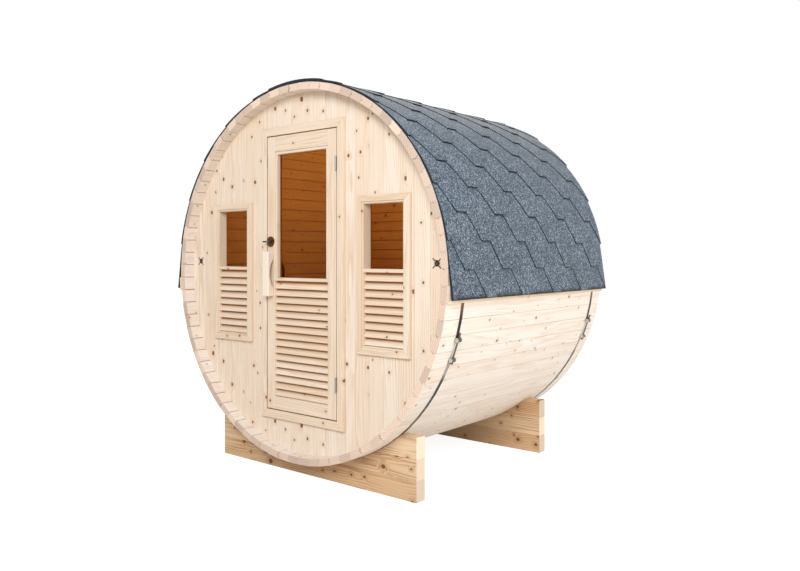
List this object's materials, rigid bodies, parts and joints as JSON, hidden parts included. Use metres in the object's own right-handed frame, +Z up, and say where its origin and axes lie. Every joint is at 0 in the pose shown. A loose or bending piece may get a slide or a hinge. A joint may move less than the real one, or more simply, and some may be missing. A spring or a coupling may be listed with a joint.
{
  "type": "outdoor barrel sauna",
  "caption": "Timber barrel sauna on two cradles, with a shingled upper half, a glazed and louvred door and two louvred windows.",
  "frame": {"origin": "on the ground, under the middle of the barrel", "axes": "+Z up, -Y out of the door, +X to the right as seen from the door side"},
  "size_m": [1.9638, 1.5, 2.0024],
  "materials": {
    "spruce_stave": "planed spruce staves",
    "spruce_board": "planed spruce boards",
    "spruce_joinery": "sanded spruce joinery",
    "knotty_timber": "sawn knotty pine planks",
    "bronze_glass": "bronze tinted toughened glass",
    "steel": "bright steel",
    "bronze_metal": "antique bronze",
    "roofing_felt": "bitumen felt",
    "granule_shingle": "mineral granules on bitumen"
  },
  "bodies": {
    "root": {"staves_top": "spruce_stave", "staves_upper_right": "spruce_stave", "staves_right": "spruce_stave", "staves_lower_right": "spruce_stave", "staves_bottom": "spruce_stave", "staves_lower_left": "spruce_stave", "staves_left": "spruce_stave", "staves_upper_left": "spruce_stave", "front_wall_left": "spruce_board", "front_wall_right": "spruce_board", "front_wall_over_door": "spruce_board", "front_wall_under_door": "spruce_board", "rear_wall": "spruce_board", "door_casing": "spruce_joinery", "door_frame": "spruce_joinery", "catch_plates": "steel", "frame_hinges": "steel", "left_window_frame": "spruce_joinery", "right_window_frame": "spruce_joinery", "left_window_slats": "spruce_joinery", "right_window_slats": "spruce_joinery", "left_window_glass": "bronze_glass", "right_window_glass": "bronze_glass", "vent_guards": "steel", "front_hoop": "steel", "rear_hoop": "steel", "eave_battens": "spruce_joinery", "roof_underlay": "roofing_felt", "shingles_left": "granule_shingle", "shingles_right": "granule_shingle", "ridge_cap": "granule_shingle", "front_cradle": "knotty_timber", "rear_cradle": "knotty_timber", "floor_boards": "spruce_board", "floor_bearers": "spruce_board"},
    "door": {"door_stiles": "spruce_joinery", "door_rails": "spruce_joinery", "door_glass": "bronze_glass", "door_beads": "spruce_joinery", "door_slats": "spruce_joinery", "outer_handle": "spruce_joinery", "inner_handle": "spruce_joinery", "lock_rosettes": "bronze_metal", "door_hinges": "steel"},
    "latch": {"latch_turn": "bronze_metal"}
  },
  "joints": [
    {"name": "door_hinge", "type": "hinge", "parent": "root", "child": "door", "pos_m": [0.2525, -0.706, 1.035], "axis": [0, 0, 1], "range_deg": [0, 165]},
    {"name": "latch_turn", "type": "hinge", "parent": "door", "child": "latch", "pos_m": [-0.222, -0.725, 1.197], "axis": [0, -1, 0], "range_deg": [0, 90]}
  ]
}
